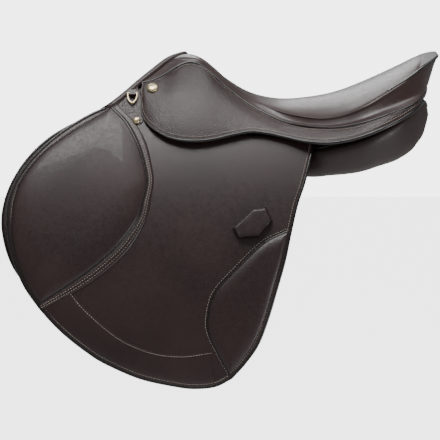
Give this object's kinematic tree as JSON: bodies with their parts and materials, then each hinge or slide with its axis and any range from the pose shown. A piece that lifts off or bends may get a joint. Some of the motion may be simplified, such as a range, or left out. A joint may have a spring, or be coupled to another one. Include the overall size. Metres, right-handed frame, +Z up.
{
  "type": "english saddle",
  "caption": "Close-contact jumping saddle with forward padded flaps, skirts over open stirrup bars, girth straps and panels on a rigid tree.",
  "frame": {"origin": "on the centreline in the space that the horse's back fills, at the mount horse_back", "axes": "+X forward to the pommel, +Y to the near (left) side, +Z up"},
  "size_m": [0.6324, 0.4302, 0.467],
  "materials": {
    "seat_leather": "smooth semi-gloss havana calf leather",
    "saddle_leather": "smooth semi-gloss havana leather",
    "padded_leather": "soft havana leather over foam",
    "panel_leather": "soft havana panel leather",
    "strap_leather": "bridle leather",
    "foam": "seat foam",
    "webbing": "woven webbing",
    "tree_wood": "laminated beech",
    "steel": "forged stainless steel",
    "brass": "polished brass"
  },
  "bodies": {
    "root": {"bar_rivets_left": "brass", "bar_rivets_right": "brass", "billet_webs_left": "webbing", "billet_webs_right": "webbing", "dee_chape_left": "brass", "dee_chape_right": "brass", "flap_head_left": "saddle_leather", "flap_head_right": "saddle_leather", "flap_stud_left": "brass", "flap_stud_right": "brass", "head_plate": "steel", "knee_block_left": "padded_leather", "knee_block_right": "padded_leather", "knee_pad_head_left": "padded_leather", "knee_pad_head_right": "padded_leather", "panel_left": "panel_leather", "panel_right": "panel_leather", "pommel_facing": "seat_leather", "seat_cover": "seat_leather", "seat_foam": "foam", "seat_webbing": "webbing", "skirt_nail_left": "brass", "skirt_nail_right": "brass", "skirt_top_left": "saddle_leather", "skirt_top_right": "saddle_leather", "stirrup_bar_left": "steel", "stirrup_bar_right": "steel", "sweat_flap_left": "saddle_leather", "sweat_flap_right": "saddle_leather", "thigh_block_left": "padded_leather", "thigh_block_right": "padded_leather", "tree": "tree_wood", "tree_head": "tree_wood"},
    "catch_body_left": {"bar_catch_left": "steel"},
    "catch_body_right": {"bar_catch_right": "steel"},
    "billet_front_body_left": {"billet_front_left": "strap_leather"},
    "billet_front_body_right": {"billet_front_right": "strap_leather"},
    "billet_middle_body_left": {"billet_middle_left": "strap_leather"},
    "billet_middle_body_right": {"billet_middle_right": "strap_leather"},
    "billet_rear_body_left": {"billet_rear_left": "strap_leather"},
    "billet_rear_body_right": {"billet_rear_right": "strap_leather"},
    "guard_body_left": {"buckle_guard_left": "strap_leather"},
    "guard_body_right": {"buckle_guard_right": "strap_leather"},
    "flap_body_left": {"calf_pad_left": "padded_leather", "flap_left": "saddle_leather", "knee_pad_left": "padded_leather", "lower_band_left": "saddle_leather", "strap_keeper_left": "saddle_leather"},
    "flap_body_right": {"calf_pad_right": "padded_leather", "flap_right": "saddle_leather", "knee_pad_right": "padded_leather", "lower_band_right": "saddle_leather", "strap_keeper_right": "saddle_leather"},
    "dee_body_left": {"dee_ring_left": "brass"},
    "dee_body_right": {"dee_ring_right": "brass"},
    "skirt_body_left": {"skirt_left": "saddle_leather"},
    "skirt_body_right": {"skirt_right": "saddle_leather"}
  },
  "joints": [
    {"name": "flap_lift_left", "type": "hinge", "parent": "root", "child": "flap_body_left", "pos_m": [0.18, 0.12579, 0.016], "axis": [1, 0, 0], "range_deg": [0, 70]},
    {"name": "skirt_lift_left", "type": "hinge", "parent": "root", "child": "skirt_body_left", "pos_m": [-0.005, 0.1195, 0.04], "axis": [0.9646, -0.1245, 0.2325], "range_deg": [0, 85]},
    {"name": "bar_catch_left", "type": "hinge", "parent": "root", "child": "catch_body_left", "pos_m": [0.108, 0.1035, 0.045], "axis": [0, 1, 0], "range_deg": [-20, 0]},
    {"name": "dee_swing_left", "type": "hinge", "parent": "root", "child": "dee_body_left", "pos_m": [0.2235, 0.08353, 0.091], "axis": [1, 0, 0], "range_deg": [0, 100]},
    {"name": "billet_middle_swing_left", "type": "hinge", "parent": "root", "child": "billet_middle_body_left", "pos_m": [0.11, 0.10198, 0.026], "axis": [0, 0.8664, 0.4993], "range_deg": [-5, 5]},
    {"name": "billet_rear_swing_left", "type": "hinge", "parent": "root", "child": "billet_rear_body_left", "pos_m": [0.072, 0.10198, 0.026], "axis": [0, 0.8664, 0.4993], "range_deg": [-5, 5]},
    {"name": "billet_front_swing_left", "type": "hinge", "parent": "root", "child": "billet_front_body_left", "pos_m": [0.148, 0.10198, 0.026], "axis": [0, 0.8664, 0.4993], "range_deg": [-5, 5]},
    {"name": "guard_slide_left", "type": "slide", "parent": "billet_middle_body_left", "child": "guard_body_left", "axis": [0, -0.3745, 0.9272], "range_m": [-0.009, 0.009]},
    {"name": "flap_lift_right", "type": "hinge", "parent": "root", "child": "flap_body_right", "pos_m": [0.18, -0.12579, 0.016], "axis": [-1, 0, 0], "range_deg": [0, 70]},
    {"name": "skirt_lift_right", "type": "hinge", "parent": "root", "child": "skirt_body_right", "pos_m": [-0.005, -0.1195, 0.04], "axis": [-0.9646, -0.1245, -0.2325], "range_deg": [0, 85]},
    {"name": "bar_catch_right", "type": "hinge", "parent": "root", "child": "catch_body_right", "pos_m": [0.108, -0.1035, 0.045], "axis": [0, 1, 0], "range_deg": [-20, 0]},
    {"name": "dee_swing_right", "type": "hinge", "parent": "root", "child": "dee_body_right", "pos_m": [0.2235, -0.08353, 0.091], "axis": [-1, 0, 0], "range_deg": [0, 100]},
    {"name": "billet_middle_swing_right", "type": "hinge", "parent": "root", "child": "billet_middle_body_right", "pos_m": [0.11, -0.10198, 0.026], "axis": [0, 0.8664, -0.4993], "range_deg": [-5, 5]},
    {"name": "billet_rear_swing_right", "type": "hinge", "parent": "root", "child": "billet_rear_body_right", "pos_m": [0.072, -0.10198, 0.026], "axis": [0, 0.8664, -0.4993], "range_deg": [-5, 5]},
    {"name": "billet_front_swing_right", "type": "hinge", "parent": "root", "child": "billet_front_body_right", "pos_m": [0.148, -0.10198, 0.026], "axis": [0, 0.8664, -0.4993], "range_deg": [-5, 5]},
    {"name": "guard_slide_right", "type": "slide", "parent": "billet_middle_body_right", "child": "guard_body_right", "axis": [0, 0.3745, 0.9272], "range_m": [-0.009, 0.009]}
  ],
  "couplings": [
    {"joint": "billet_rear_swing_left", "follows": "billet_middle_swing_left", "ratio": 1},
    {"joint": "billet_front_swing_left", "follows": "billet_middle_swing_left", "ratio": 1},
    {"joint": "billet_rear_swing_right", "follows": "billet_middle_swing_right", "ratio": 1},
    {"joint": "billet_front_swing_right", "follows": "billet_middle_swing_right", "ratio": 1}
  ]
}
